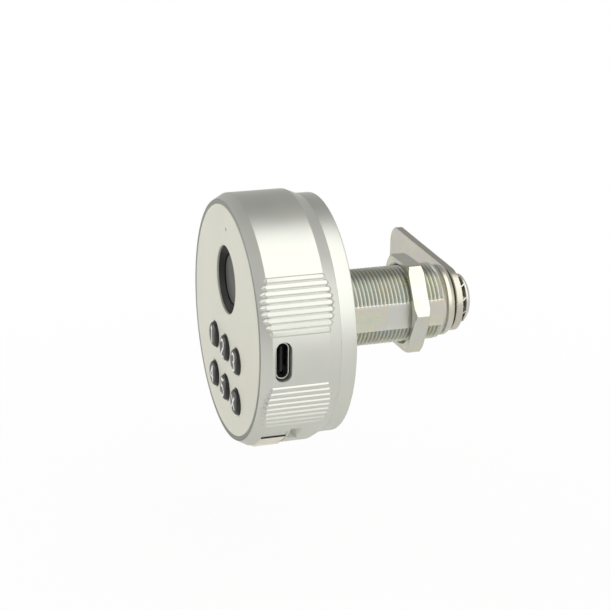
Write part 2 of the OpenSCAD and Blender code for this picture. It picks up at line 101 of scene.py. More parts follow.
TRAY_LOW, TRAY_HIGH = span("battery_tray")

# Sizes of the housing that its box doesn't show
FRONT_EDGE = -20.7
REAR_EDGE = -7.1
WALL = 3.6
FLOOR = 2.5
RIBS = 9
RIB_PITCH = 2.88
RIB_GROUP = 24.4
RIB_H = 0.3
RIB_W = 1.48
RIB_CREST = 0.84
RIB_HALF = 8.9
RIB_FADE = 1.5
RIB_END_SLOPE = 1.3
RIB_POINT = 0.9
SPRING_WIRE = 0.2
SPRING_TURNS = 4
TRAY_TRAVEL = 30
BAY_FRONT = -20.55
BAY_REAR = -13.9
BAY_HALF = 20.5
TRAY_GAP = 0.5
SENSOR_HOLE_R = 8.3
KEY_R = 3.2
KEY_UP = 1.05
KEY_GAP = 0.12
LIGHT_R = 0.4
THREAD_END = 31.0
TAIL_R = BARREL_FLAT - 0.05
TAIL_BEVEL = 0.95
THREAD_PITCH = 1.0
THREAD_DEPTH = 0.62
SPINDLE_R = 5.0
NUT_TURN = 3
CAM_CORNER = 5
SQUARE_W = 7
KEYS = ("key_1", "key_2", "key_3", "key_4", "key_5", "key_cross")


# Mesh making

def tidy_mesh(name, points, faces, sharp=28):
    """Object of points (mm) and faces: doubles are merged, faces face out and wide angles are sharp.
    The faces face out when the sum of point . (area vector) / 3 over them, the volume, is positive."""
    mesh = bpy.data.meshes.new(name)
    mesh.from_pydata((np.asarray(points, float) * MM).tolist(), [], [list(f) for f in faces])
    work = bmesh.new()
    work.from_mesh(mesh)
    bmesh.ops.remove_doubles(work, verts=work.verts, dist=1e-6)
    bmesh.ops.dissolve_degenerate(work, edges=work.edges, dist=1e-7)
    if work.calc_volume(signed=True) < 0:
        bmesh.ops.reverse_faces(work, faces=work.faces)
    work.to_mesh(mesh)
    work.free()
    shade(mesh, sharp)
    piece = bpy.data.objects.new(name, mesh)
    bpy.context.scene.collection.objects.link(piece)
    return piece


def shade(mesh, sharp):
    """Smooth shading that breaks where two faces meet at more than sharp degrees."""
    mesh.polygons.foreach_set("use_smooth", np.ones(len(mesh.polygons), bool))
    mesh.set_sharp_from_angle(angle=math.radians(sharp))
    mesh.update()


def quads(rows, columns, wrap_rows, wrap_columns, start=0):
    """Quads of a grid of points numbered row by row, closed round its rows or columns if asked."""
    i = np.arange(rows if wrap_rows else rows - 1)
    j = np.arange(columns if wrap_columns else columns - 1)
    i, j = np.meshgrid(i, j, indexing="ij")
    i2 = (i + 1) % rows
    j2 = (j + 1) % columns
    corners = np.stack([i * columns + j, i * columns + j2, i2 * columns + j2, i2 * columns + j], -1)
    return (corners.reshape(-1, 4) + start).tolist()


def rounded(corners, steps=4):
    """Outline of (r, y, fillet) corners, each corner an arc. An arc starts fillet / tan(half the
    corner's angle) from the corner, and its centre lies on the bisector."""
    out = []
    count = len(corners)
    for i, (r, y, fillet) in enumerate(corners):
        here = np.array([r, y])
        if not fillet:
            out.append(here)
            continue
        before = np.array(corners[i - 1][:2]) - here
        after = np.array(corners[(i + 1) % count][:2]) - here
        before = before / np.linalg.norm(before)
        after = after / np.linalg.norm(after)
        half = math.acos(np.clip(before @ after, -1, 1)) / 2
        bisector = (before + after) / np.linalg.norm(before + after)
        centre = here + bisector * fillet / math.sin(half)
        first = here + before * fillet / math.tan(half) - centre
        last = here + after * fillet / math.tan(half) - centre
        sweep = math.pi - 2 * half
        for k in range(steps + 1):
            t = k / steps
            out.append(centre + (math.sin((1 - t) * sweep) * first + math.sin(t * sweep) * last)
                       / math.sin(sweep))
    return np.array(out)


def lathe(name, corners, columns=192, centre=(0.0, 0.0), sharp=28):
    """Closed (r, y, fillet) outline turned about a line along Y:
    x = centre x + r cos t, y = y, z = centre z + r sin t."""
    outline = rounded(corners)
    turn = np.linspace(0, 2 * math.pi, columns, endpoint=False)
    r = outline[:, 0][:, None]
    points = np.stack([centre[0] + r * np.cos(turn), np.repeat(outline[:, 1][:, None], columns, 1),
                       centre[1] + r * np.sin(turn)], -1)
    faces = quads(len(outline), columns, True, True)
    return tidy_mesh(name, points.reshape(-1, 3), faces, sharp)


def loft(name, rings, sharp=28, capped=True):
    """Rings of points joined along their length into one skin, with a flat face on each end."""
    rows, columns = rings.shape[:2]
    faces = quads(rows, columns, False, True)
    if capped:
        faces.append(list(range(columns))[::-1])
        faces.append(list(range((rows - 1) * columns, rows * columns)))
    return tidy_mesh(name, rings.reshape(-1, 3), faces, sharp)


def joined(name, parts, sharp=28):
    """Several pieces as one object."""
    work = bmesh.new()
    for part in parts:
        work.from_mesh(part.data)
        bpy.data.objects.remove(part)
    mesh = bpy.data.meshes.new(name)
    work.to_mesh(mesh)
    work.free()
    shade(mesh, sharp)
    piece = bpy.data.objects.new(name, mesh)
    bpy.context.scene.collection.objects.link(piece)
    return piece


def carve(piece, cutters, sharp=28):
    """Cuts the cutters out of a piece, keeps the result as its mesh and removes the cutters."""
    for cutter in cutters:
        step = piece.modifiers.new("cut", "BOOLEAN")
        step.operation = "DIFFERENCE"
        step.solver = "EXACT"
        step.object = cutter
    bpy.context.view_layer.update()
    result = bpy.data.meshes.new_from_object(piece.evaluated_get(bpy.context.evaluated_depsgraph_get()))
    piece.modifiers.clear()
    piece.data = result
    shade(result, sharp)
    for cutter in cutters:
        bpy.data.objects.remove(cutter)
    return piece


def block(name, low, high):
    """Closed box between two corners, for cutting."""
    xs, ys, zs = zip(low, high)
    points = [(x, y, z) for x in xs for y in ys for z in zs]
    faces = [(0, 1, 3, 2), (4, 6, 7, 5), (0, 4, 5, 1), (2, 3, 7, 6), (0, 2, 6, 4), (1, 5, 7, 3)]
    return tidy_mesh(name, points, faces)


def stadium(half_long, half_short, per_end=16):
    """Loop of a slot with round ends, as (along, across): two half circles of radius half_short whose
    centres lie half_long - half_short from the middle."""
    reach = half_long - half_short
    upper = np.linspace(0, math.pi, per_end)
    along = np.concatenate([reach + half_short * np.sin(upper), -reach - half_short * np.sin(upper)])
    across = np.concatenate([half_short * np.cos(upper), -half_short * np.cos(upper)])
    return np.stack([along, across], -1)


def slot_loft(name, sections, y, sharp=28):
    """Slot along X: each section is (x, half long side, half short side), in order along X."""
    rings = []
    for x, half_long, half_short in sections:
        loop = stadium(half_long, half_short)
        rings.append(np.stack([np.full(len(loop), x), y + loop[:, 1], loop[:, 0]], -1))
    return loft(name, np.array(rings), sharp)


# Materials

def node(tree, kind, **values):
    """New shader node with its properties set."""
    made = tree.nodes.new(kind)
    for key, value in values.items():
        setattr(made, key, value)
    return made


def noise(tree, coordinates, size, detail=2.0, rough=0.5):
    """Noise whose features are about size millimetres wide."""
    made = node(tree, "ShaderNodeTexNoise")
    made.inputs["Scale"].default_value = 1 / (size * MM)
    made.inputs["Detail"].default_value = detail
    made.inputs["Roughness"].default_value = rough
    tree.links.new(coordinates, made.inputs["Vector"])
    return made.outputs["Fac"]


def ramp(tree, factor, stops):
    """Colour ramp over (place, colour) stops."""
    made = node(tree, "ShaderNodeValToRGB")
    band = made.color_ramp
    while len(band.elements) < len(stops):
        band.elements.new(0.5)
    for element, (place, colour) in zip(band.elements, stops):
        element.position = place
        element.color = (*colour, 1)
    tree.links.new(factor, made.inputs["Fac"])
    return made.outputs["Color"]


def spread(tree, factor, low, high):
    """Maps 0.35 to 0.65, where most noise lies, to low and high."""
    made = node(tree, "ShaderNodeMapRange")
    made.inputs["From Min"].default_value = 0.35
    made.inputs["From Max"].default_value = 0.65
    made.inputs["To Min"].default_value = low
    made.inputs["To Max"].default_value = high
    tree.links.new(factor, made.inputs["Value"])
    return made.outputs["Result"]


def finish(name, colours, metallic, roughness, patch=12, grain=0.25, grain_depth=0.004, edge=0.08,
           worn=None, coat=0.0, gloss=0.5, stretch=None, groove=None,
           rim=None):
    """Procedural finish: the colours drift over patches, the roughness drifts with them, a fine grain
    gives the bump, edges are rounded by edge millimetres and show the worn colour if one is given.
    A groove (root radius, crest radius, tone) paints shade into the thread towards its root, and a rim (axis,
    low, high, tone) paints the shade of a gap onto what lies beside it."""
    material = bpy.data.materials.new(name)
    material.use_nodes = True
    tree = material.node_tree
    shader = tree.nodes["Principled BSDF"]
    shader.inputs["Metallic"].default_value = metallic
    shader.inputs["Specular IOR Level"].default_value = gloss
    shader.inputs["Coat Weight"].default_value = coat
    shader.inputs["Coat Roughness"].default_value = 0.12
    place = node(tree, "ShaderNodeTexCoord").outputs["Object"]
    patches = noise(tree, place, patch, 3.0)
    count = len(colours)
    stops = [(0.3 + 0.4 * i / max(1, count - 1), c) for i, c in enumerate(colours)]
    colour = ramp(tree, patches, stops)
    rounding = node(tree, "ShaderNodeBevel", samples=6)
    rounding.inputs["Radius"].default_value = edge * MM
    if worn:
        flat = node(tree, "ShaderNodeNewGeometry")
        facing = node(tree, "ShaderNodeVectorMath", operation="DOT_PRODUCT")
        tree.links.new(rounding.outputs["Normal"], facing.inputs[0])
        tree.links.new(flat.outputs["Normal"], facing.inputs[1])
        at_edge = node(tree, "ShaderNodeMapRange")
        at_edge.inputs["From Min"].default_value = 0.995
        at_edge.inputs["From Max"].default_value = 0.93
        at_edge.inputs["To Max"].default_value = 0.6
        tree.links.new(facing.outputs["Value"], at_edge.inputs["Value"])
        blend = node(tree, "ShaderNodeMix", data_type="RGBA")
        blend.inputs[7].default_value = (*worn, 1)
        tree.links.new(at_edge.outputs["Result"], blend.inputs[0])
        tree.links.new(colour, blend.inputs[6])
        colour = blend.outputs[2]
    # Painted shade in the roots of the thread.
    if groove:
        colour = painted_thread_root_shade(tree, place, colour, *groove)
    # Painted shade of a gap, on what lies beside it.
    if rim:
        colour = painted_gap_shade(tree, place, colour, *rim)
    tree.links.new(colour, shader.inputs["Base Color"])
    tree.links.new(spread(tree, patches, roughness * 0.88, roughness * 1.12), shader.inputs["Roughness"])
    if stretch:
        mapping = node(tree, "ShaderNodeMapping")
        mapping.inputs["Scale"].default_value = stretch
        tree.links.new(place, mapping.inputs["Vector"])
        place = mapping.outputs["Vector"]
    bump = node(tree, "ShaderNodeBump")
    bump.inputs["Strength"].default_value = 1.0
    bump.inputs["Distance"].default_value = grain_depth * MM
    tree.links.new(noise(tree, place, grain, 2.0), bump.inputs["Height"])
    tree.links.new(rounding.outputs["Normal"], bump.inputs["Normal"])
    tree.links.new(bump.outputs["Normal"], shader.inputs["Normal"])
    return material


def painted_gap_shade(tree, place, colour, axis, low, high, tone):
    """Painted shade of a gap: a dark tone that sets in where the distance from the middle along an axis goes
    from low to high.
    """
    parts = node(tree, "ShaderNodeSeparateXYZ")
    tree.links.new(place, parts.inputs["Vector"])
    away = node(tree, "ShaderNodeMath", operation="ABSOLUTE")
    tree.links.new(parts.outputs[axis], away.inputs[0])
    share = node(tree, "ShaderNodeMapRange", interpolation_type="SMOOTHSTEP")
    share.inputs["From Min"].default_value = low * MM
    share.inputs["From Max"].default_value = high * MM
    tree.links.new(away.outputs["Value"], share.inputs["Value"])
    blend = node(tree, "ShaderNodeMix", data_type="RGBA")
    blend.inputs[7].default_value = (*tone, 1)
    tree.links.new(share.outputs["Result"], blend.inputs[0])
    tree.links.new(colour, blend.inputs[6])
    return blend.outputs[2]


def painted_thread_root_shade(tree, place, colour, root, crest, tone):
    """Painted shade in the roots of the thread: a dark tone by the larger of the distance from the axis Y and
    of |x| plus the depth of the flats, so that the flats stay unshaded, and so does the plain tail behind the
    thread."""
    flat = node(tree, "ShaderNodeVectorMath", operation="MULTIPLY")
    flat.inputs[1].default_value = (1, 0, 1)
    tree.links.new(place, flat.inputs[0])
    distance = node(tree, "ShaderNodeVectorMath", operation="LENGTH")
    tree.links.new(flat.outputs["Vector"], distance.inputs[0])
    parts = node(tree, "ShaderNodeSeparateXYZ")
    tree.links.new(place, parts.inputs["Vector"])
    sideways = node(tree, "ShaderNodeMath", operation="ABSOLUTE")
    tree.links.new(parts.outputs["X"], sideways.inputs[0])
    raised = node(tree, "ShaderNodeMath", operation="ADD")
    raised.inputs[1].default_value = (BARREL_R - BARREL_FLAT) * MM
    tree.links.new(sideways.outputs["Value"], raised.inputs[0])
    larger = node(tree, "ShaderNodeMath", operation="MAXIMUM")
    tree.links.new(distance.outputs["Value"], larger.inputs[0])
    tree.links.new(raised.outputs["Value"], larger.inputs[1])
    share = node(tree, "ShaderNodeMapRange", interpolation_type="SMOOTHSTEP")
    share.inputs["From Min"].default_value = crest * MM
    share.inputs["From Max"].default_value = root * MM
    share.inputs["To Max"].default_value = 0.6
    tree.links.new(larger.outputs["Value"], share.inputs["Value"])
    before_tail = node(tree, "ShaderNodeMath", operation="LESS_THAN")
    before_tail.inputs[1].default_value = (THREAD_END - 0.8) * MM
    tree.links.new(parts.outputs["Y"], before_tail.inputs[0])
    kept = node(tree, "ShaderNodeMath", operation="MULTIPLY")
    tree.links.new(share.outputs["Result"], kept.inputs[0])
    tree.links.new(before_tail.outputs["Value"], kept.inputs[1])
    blend = node(tree, "ShaderNodeMix", data_type="RGBA")
    blend.inputs[7].default_value = (*tone, 1)
    tree.links.new(kept.outputs["Value"], blend.inputs[0])
    tree.links.new(colour, blend.inputs[6])
    return blend.outputs[2]


# The rim tone darkens the front edge of the housing beside the face plate: painted shade of the gap there.
SATIN = finish("satin_silver_coat", [(0.715, 0.72, 0.675), (0.755, 0.76, 0.715)], 0.85, 0.36,
               patch=18, grain=0.12, grain_depth=0.003, edge=0.06, worn=(0.80, 0.80, 0.78),
               rim=("Y", -FACE_Y - 0.10, -FACE_Y - 0.02, (0.26, 0.26, 0.24)))
CREAM = finish("pale_cream_coat", [(0.70, 0.69, 0.60), (0.74, 0.73, 0.645)], 0.0, 0.42,
               patch=22, grain=0.15, grain_depth=0.002, edge=0.1, worn=(0.80, 0.79, 0.72))
# The rim tone darkens the end faces of the tray's cap: painted shadow of the gap beside the opening.
TRAY_CREAM = finish("pale_tray_plastic", [(0.90, 0.86, 0.77), (0.93, 0.89, 0.80)], 0.0, 0.45,
                    patch=9, grain=0.2, grain_depth=0.003, edge=0.04,
                    rim=("X", TRAY_HIGH[0] - TRAY_GAP - 0.10, TRAY_HIGH[0] - TRAY_GAP - 0.04,
                         (0.02, 0.016, 0.012)))
ZINC_TINTS = [(0.64, 0.71, 0.60), (0.74, 0.74, 0.62), (0.74, 0.70, 0.62), (0.70, 0.71, 0.70),
              (0.76, 0.75, 0.60)]
PLATED = finish("clear_zinc_plating", ZINC_TINTS, 0.95, 0.30, patch=7, grain=0.35, grain_depth=0.010,
                edge=0.1, worn=(0.90, 0.90, 0.82))
# The groove tone darkens the thread towards its roots: painted shade.
THREAD = finish("zinc_plated_thread", ZINC_TINTS, 0.95, 0.30, patch=7, grain=0.35, grain_depth=0.010,
                edge=0.05, worn=(0.86, 0.92, 0.84), groove=(8.95, 9.42, (0.30, 0.36, 0.29)))
CAM_PLATED = finish("iridescent_zinc_plating", [(0.55, 0.62, 0.53), (0.68, 0.63, 0.57), (0.63, 0.63, 0.52),
                                                (0.64, 0.59, 0.59), (0.64, 0.64, 0.52)],
                    0.95, 0.30, patch=9, grain=0.35, grain_depth=0.010, edge=0.1,
                    worn=(0.90, 0.90, 0.82))
DARK_STEEL = finish("oiled_dark_steel", [(0.06, 0.05, 0.035), (0.09, 0.08, 0.06)], 0.9, 0.4,
                    patch=4, grain=0.3, grain_depth=0.004, edge=0.06)
KEY_BLACK = finish("black_key_plastic", [(0.012, 0.012, 0.012), (0.018, 0.018, 0.018)], 0.0, 0.3,
                   patch=3, grain=0.2, grain_depth=0.003, edge=0.12, worn=(0.04, 0.04, 0.04))
NUMERAL = finish("pale_numeral_ink", [(0.80, 0.81, 0.80), (0.88, 0.89, 0.88)], 0.0, 0.4,
                 patch=1, grain=0.1, grain_depth=0.002, edge=0.03)
SENSOR_BLACK = finish("black_sensor_ring", [(0.006, 0.006, 0.006), (0.01, 0.01, 0.01)], 0.0, 0.55,
                      patch=4, grain=0.15, grain_depth=0.002, edge=0.08, gloss=0.18, worn=(0.02, 0.02, 0.02))
SENSOR_PAD = finish("dark_sensor_pad", [(0.060, 0.061, 0.055), (0.072, 0.073, 0.066)], 0.0, 0.45,
                    patch=4, grain=0.08, grain_depth=0.002, edge=0.05)
MOULDED_BLACK = finish("black_moulded_plastic", [(0.012, 0.012, 0.012), (0.02, 0.02, 0.02)], 0.0, 0.5,
                       patch=3, grain=0.2, grain_depth=0.004, edge=0.05)
BRIGHT_STEEL = finish("bright_steel", [(0.62, 0.62, 0.61), (0.70, 0.70, 0.69)], 1.0, 0.24,
                      patch=5, grain=0.3, grain_depth=0.003, edge=0.06, worn=(0.8, 0.8, 0.79),
                      stretch=(1, 6, 1))
GREY_PLASTIC = finish("grey_moulded_plastic", [(0.13, 0.13, 0.125), (0.16, 0.16, 0.155)], 0.0, 0.5,
                      patch=6, grain=0.3, grain_depth=0.006, edge=0.1, worn=(0.2, 0.2, 0.19))
BOARD = finish("green_board_lacquer", [(0.012, 0.10, 0.04), (0.02, 0.13, 0.05)], 0.0, 0.3,
               patch=4, grain=0.4, grain_depth=0.006, edge=0.05, coat=0.4)
WINDING = finish("copper_winding", [(0.50, 0.22, 0.10), (0.62, 0.29, 0.14)], 0.9, 0.3,
                 patch=2, grain=0.12, grain_depth=0.03, edge=0.05, stretch=(0.05, 0.05, 1))
BRASS = finish("machined_brass", [(0.62, 0.46, 0.2), (0.70, 0.54, 0.26)], 1.0, 0.3,
               patch=5, grain=0.2, grain_depth=0.004, edge=0.08, worn=(0.8, 0.66, 0.36))
RUBBER = finish("black_rubber", [(0.02, 0.02, 0.02), (0.03, 0.03, 0.03)], 0.0, 0.75,
                patch=6, grain=0.3, grain_depth=0.01, edge=0.08)
LIGHT_LENS = finish("amber_light_lens", [(0.36, 0.22, 0.12), (0.44, 0.29, 0.17)], 0.0, 0.2,
                    patch=0.4, grain=0.1, grain_depth=0.002, edge=0.04, coat=0.5)

CARRIED_FINISHES = {
    "keypad_film": RUBBER, "main_board": BOARD, "sounder": MOULDED_BLACK, "inner_frame": GREY_PLASTIC,
    "frame_screws": BRIGHT_STEEL, "clutch_bracket": GREY_PLASTIC, "clutch_coil": WINDING,
    "clutch_pin": BRIGHT_STEEL, "coin_cell": BRIGHT_STEEL,
    "battery_contacts": BRASS, "base_gasket": RUBBER, "neck_clip": BRIGHT_STEEL,
    "spindle": DARK_STEEL, "drive_hub": BRASS, "hub_clip": BRIGHT_STEEL}


def settle(piece, body, material, stands_for=None):
    """Gives a piece its body and its finish, and hides the CAD node that it stands for."""
    piece.data.materials.clear()
    piece.data.materials.append(material)
    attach(piece, body)
    if stands_for:
        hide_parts(stands_for)
    return piece


# Ribbed knob housing

def rib_middles():
    """Angles of the rib middles from the port side, in degrees, all round the head."""
    fan = (np.arange(RIBS) - (RIBS - 1) / 2) * RIB_PITCH
    near = np.concatenate([RIB_GROUP + fan, -RIB_GROUP - fan])
    return np.sort(np.concatenate([near, 180 - near]) % 360)


def rib_halves(middles):
    """Half length of each rib: the middle rib of a group is the longest, and the length falls with
    the square of the distance from it."""
    from_side = np.abs((middles + 90) % 180 - 90)
    place = (from_side - RIB_GROUP) / ((RIBS - 1) / 2 * RIB_PITCH)
    return RIB_HALF - RIB_FADE * place ** 2


def knob_housing():
    """The outer skin is r(t, y), the larger of the turned profile and the ribs. A rib is the smallest of
    its crest, its flanks and its end slopes. Columns lie on the rib edges, and one row at each end
    follows the rib tips, so that every edge is a line of the grid."""
    bore = HEAD_R - WALL
    recess = PLATE_R + 0.06
    neck = BARREL_R + 2.55
    floor_front = SHELL_BACK - FLOOR
    middles = rib_middles()
    halves = rib_halves(middles)
    per_mm = 180 / (math.pi * (HEAD_R + RIB_H))
    marks = np.array([-RIB_W / 2 - 0.03, -RIB_W / 2, -RIB_CREST / 2, 0, RIB_CREST / 2, RIB_W / 2,
                      RIB_W / 2 + 0.03]) * per_mm
    rib_columns = (middles[:, None] + marks[None, :]).ravel()
    plain = np.arange(0, 360, 1.5)
    gap = np.abs((plain[:, None] - rib_columns[None, :] + 180) % 360 - 180).min(1)
    columns = np.sort(np.concatenate([rib_columns, plain[gap > 0.6]]) % 360)
    nearest = np.abs((columns[:, None] - middles[None, :] + 180) % 360 - 180)
    rib = nearest.argmin(1)
    offset = nearest.min(1) / per_mm
    mid = (FRONT_EDGE + REAR_EDGE) / 2
    half = halves[rib] - RIB_POINT * np.minimum(offset, RIB_W / 2)

    skin = rounded([(recess, FACE_Y, 0), (RIM_R, FACE_Y, 0.12), (HEAD_R, FRONT_EDGE, 0.35),
                    (HEAD_R, REAR_EDGE, 0.35), (RIM_R, SHELL_BACK, 0), (bore, SHELL_BACK, 0)])[1:-1]
    rows = []
    for front, tip in ((True, mid - half), (False, mid + half)):
        edge = FRONT_EDGE if front else REAR_EDGE
        ends = skin[skin[:, 1] < mid] if front else skin[skin[:, 1] > mid]
        far = ends[np.abs(ends[:, 1] - edge) > 1.2][:, 1]
        near = ends[np.abs(ends[:, 1] - edge) <= 1.2][:, 1]
        inward = 1 if front else -1
        slope_top = tip + inward * (HEAD_R + RIB_H - np.interp(tip, skin[:, 1], skin[:, 0])) / RIB_END_SLOPE
        stack = [np.full(len(columns), y) for y in far]
        tips = [tip - inward * 0.02, tip, slope_top]
        body = [np.full(len(columns), y) for y in near]
        stack = stack + tips + body if front else body + tips[::-1] + stack
        rows += stack
    y = np.sort(np.array(rows), axis=0)
    base = np.interp(y, skin[:, 1], skin[:, 0])
    tip_r = np.interp(mid - half, skin[:, 1], skin[:, 0])
    tail_r = np.interp(mid + half, skin[:, 1], skin[:, 0])
    flank = HEAD_R + RIB_H - np.maximum(0, offset - RIB_CREST / 2) * RIB_H / ((RIB_W - RIB_CREST) / 2)
    ends = np.minimum(tip_r + RIB_END_SLOPE * (y - mid + half), tail_r + RIB_END_SLOPE * (mid + half - y))
    bars = np.minimum(flank[None, :], ends)
    inside = (np.abs(y - mid) <= half + 1e-6) & (offset <= RIB_W / 2 + 1e-6)[None, :]
    r = np.where(inside, np.maximum(base, bars), base)

    inner = rounded([(bore, SHELL_BACK, 0), (neck, SHELL_BACK, 0.3), (neck, floor_front, 0.3),
                     (bore, floor_front, 0.6), (bore, PLATE_BACK, 0.1), (recess, PLATE_BACK, 0.1),
                     (recess, FACE_Y, 0.12), (RIM_R, FACE_Y, 0)])[1:-1]
    r = np.concatenate([r, np.repeat(inner[:, 0][:, None], len(columns), 1)])
    y = np.concatenate([y, np.repeat(inner[:, 1][:, None], len(columns), 1)])
    turn = np.radians(columns)[None, :]
    points = np.stack([r * np.cos(turn), y, r * np.sin(turn)], -1)
    faces = quads(*r.shape, True, True)
    piece = tidy_mesh("knob_housing", points.reshape(-1, 3), faces, 20)
    return carve(piece, housing_cutters(), 20)


def housing_cutters():
    """The port slot with its flared mouth, and the battery opening with its bevels and nail slots."""
    port_y = (PORT_LOW[1] + PORT_HIGH[1]) / 2
    half_long = (PORT_HIGH[2] - PORT_LOW[2]) / 2 + 0.4
    half_short = (PORT_HIGH[1] - PORT_LOW[1]) / 2 + 0.3
    mouth = 0.25
    out = HEAD_R + 2
    cutters = [slot_loft("port_cut", [(HEAD_R - WALL - 6, half_long, half_short),
                                      (HEAD_R - mouth, half_long, half_short),
                                      (HEAD_R, half_long + mouth, half_short + mouth),
                                      (out, half_long + mouth, half_short + mouth)], port_y)]
    flare = 2.6
    bevel = 0.35
    lip = BAY_HALF + flare
    lip_z = -math.sqrt(HEAD_R ** 2 - lip ** 2)
    bay_z = -math.sqrt(HEAD_R ** 2 - BAY_HALF ** 2)
    deep = -HEAD_R
    cutters.append(block("bay_cut", (-BAY_HALF, BAY_FRONT, deep - 1), (BAY_HALF, BAY_REAR, deep / 3)))
    for side in (-1, 1):
        outline = [(lip, lip_z), (BAY_HALF, bay_z + bevel), (BAY_HALF - 1, deep), (lip + 1, deep)]
        rings = np.array([[(side * x, y, z) for x, z in outline] for y in (BAY_FRONT, BAY_REAR - 0.5)])
        cutters.append(loft("bay_bevel", rings))
        nail = nail_slot(side, BAY_HALF - 2, lip + 0.4, bay_z - 1.8, lip_z)
        cutters.append(nail)
    return cutters


def nail_slot(side, x0, x1, z0, z1):
    """Shallow slot in the cylinder beside the battery opening: x and z bound it, its floor is the
    circle of radius head - depth, and it slopes out to nothing at its rear."""
    depth = 1.9
    width = 1.6
    slope = 1.2
    angles = np.linspace(math.atan2(z0, x0), math.atan2(z1, x1), 9)
    rings = []
    for y, floor_r in ((BAY_REAR - 0.01, HEAD_R - depth), (BAY_REAR + width, HEAD_R - depth),
                       (BAY_REAR + width + slope, HEAD_R + 0.05)):
        inner = np.stack([side * floor_r * np.cos(angles), np.full(9, y), floor_r * np.sin(angles)], -1)
        outer = inner * np.array([1.15, 1, 1.15])
        outer[:, 1] = y
        rings.append(np.concatenate([inner, outer[::-1]]))
    return loft("nail_slot", np.array(rings))


# Face

def face_disc():
    """Disc with rounded rim. Each hole is cut by a turned plug whose mouth flares by its fillet."""
    plate = lathe("face_disc", [(0, FACE_Y, 0), (PLATE_R, FACE_Y, 0.18), (PLATE_R, PLATE_BACK, 0),
                                (0, PLATE_BACK, 0)], 256)
    holes = [(0, SENSOR_Z, SENSOR_HOLE_R, 0.12), (0, LIGHT_Z, LIGHT_R + 0.05, 0.05)]
    for key in KEYS:
        low, high = span(key)
        holes.append(((low[0] + high[0]) / 2, (low[2] + high[2]) / 2, KEY_R + KEY_GAP, 0.15))
    cutters = []
    for x, z, r, flare in holes:
        outline = [(0, FACE_Y - 1, 0), (r + flare, FACE_Y - 1, 0), (r + flare, FACE_Y - 0.001, 0),
                   (r, FACE_Y + flare, flare), (r, PLATE_BACK + 1, 0), (0, PLATE_BACK + 1, 0)]
        cutters.append(lathe("hole", outline, 96, (x, z)))
    return carve(plate, cutters)


def sensor_ring():
    """Dished ring: a flat lip, a slope down to the pad and a flange behind the plate."""
    lip = FACE_Y + 0.5
    well = SENSOR_PAD_LOW[1] - 0.25
    r = SENSOR_HOLE_R - 0.05
    return lathe("sensor_ring", [
        (PAD_R + 0.05, well, 0.05), (r - 0.35, lip, 0.12), (r, lip, 0.08), (r, PLATE_BACK, 0),
        (r + 1.2, PLATE_BACK, 0), (r + 1.2, PLATE_BACK + 1, 0.1), (PAD_R + 0.05, PLATE_BACK + 1, 0)],
        160, (0, SENSOR_Z))


def sensor_window():
    """Touch pad with a rounded rim."""
    front, back = SENSOR_PAD_LOW[1], SENSOR_PAD_HIGH[1]
    return lathe("sensor_window", [(0, front, 0), (PAD_R, front, 0.12), (PAD_R, back, 0), (0, back, 0)],
                 160, (0, SENSOR_Z))


def status_light():
    """Small lens in the plate on a wider stem."""
    low, high = span("light_pipe")
    stem_r = (high[2] - low[2]) / 2
    return lathe("status_light", [
        (0, low[1], 0), (LIGHT_R, low[1], 0.1), (LIGHT_R, PLATE_BACK, 0), (stem_r, PLATE_BACK, 0.1),
        (stem_r, high[1], 0), (0, high[1], 0)], 48, (0, LIGHT_Z))


# Keys

KEY_CROWN = FACE_Y - KEY_UP


def dome_y(r):
    """Height of the key dome at radius r from its middle: a flat arc that falls by 0.13 mm over
    the crown, then a quarter round down to the straight side."""
    r = np.asarray(r, float)
    crown = 0.13 * (r / KEY_R) ** 2
    shoulder = KEY_R - 0.95
    fall = 0.9 * (1 - np.sqrt(np.clip(1 - ((r - shoulder) / 0.95) ** 2, 0, 1)))
    return KEY_CROWN + crown + np.where(r > shoulder, fall, 0)


def key_dome(key):
    """Key cap: the dome, its straight side, the flange behind the plate and the stem."""
    low, high = span(key)
    centre = ((low[0] + high[0]) / 2, (low[2] + high[2]) / 2)
    flange_r = (high[0] - low[0]) / 2
    r = KEY_R * np.sin(np.linspace(0, math.pi / 2, 22))
    dome = [(a, b, 0) for a, b in zip(r, dome_y(r))]
    behind = PLATE_BACK + 0.05
    rest = [(KEY_R, behind, 0), (flange_r, behind, 0), (flange_r, behind + 0.45, 0.1),
            (1, behind + 0.45, 0), (1, high[1], 0.1), (0, high[1], 0)]
    return lathe(key + "_cap", dome + rest, 96, centre, 40)


def arc(x, z, rx, rz, start, end, count=20):
    """Points of an elliptic arc, angles in degrees from +X towards +Z."""
    t = np.radians(np.linspace(start, end, count))
    return np.stack([x + rx * np.cos(t), z + rz * np.sin(t)], -1)


def line(*corners):
    """Points along straight lines through the corners, about 0.15 mm apart."""
    out = [np.array(corners[0], float)[None]]
    for a, b in zip(corners, corners[1:]):
        a, b = np.array(a, float), np.array(b, float)
        count = max(2, int(np.linalg.norm(b - a) / 0.15))
        out.append(a + (b - a) * np.linspace(0, 1, count + 1)[1:, None])
    return np.concatenate(out)


TALL = 2.1
WIDE = 1.15
STROKES = {
    "key_1": [line((-0.55, TALL - 0.75), (0.1, TALL), (0.1, -TALL))],
    "key_2": [np.concatenate([arc(0, TALL - WIDE, WIDE, WIDE, 165, -35),
                              line((0.95, TALL - WIDE - 0.66), (-WIDE, -TALL), (WIDE + 0.1, -TALL))])],
    "key_3": [arc(0, TALL - 1.05, 1.05, 1.05, 150, -90), arc(0, -TALL + 1.05, 1.1, 1.05, 90, -150)],
    "key_4": [line((0.55, -TALL), (0.55, TALL), (-1.25, -0.75), (1.25, -0.75))],
    "key_5": [line((1.0, TALL), (-0.85, TALL), (-1.0, 0.35)),
              arc(-0.05, -TALL + 1.3, 1.15, 1.3, 140, -145)],
    "key_cross": [line((-1.15, 1.6), (1.15, -1.6)), line((1.15, 1.6), (-1.15, -1.6))]}


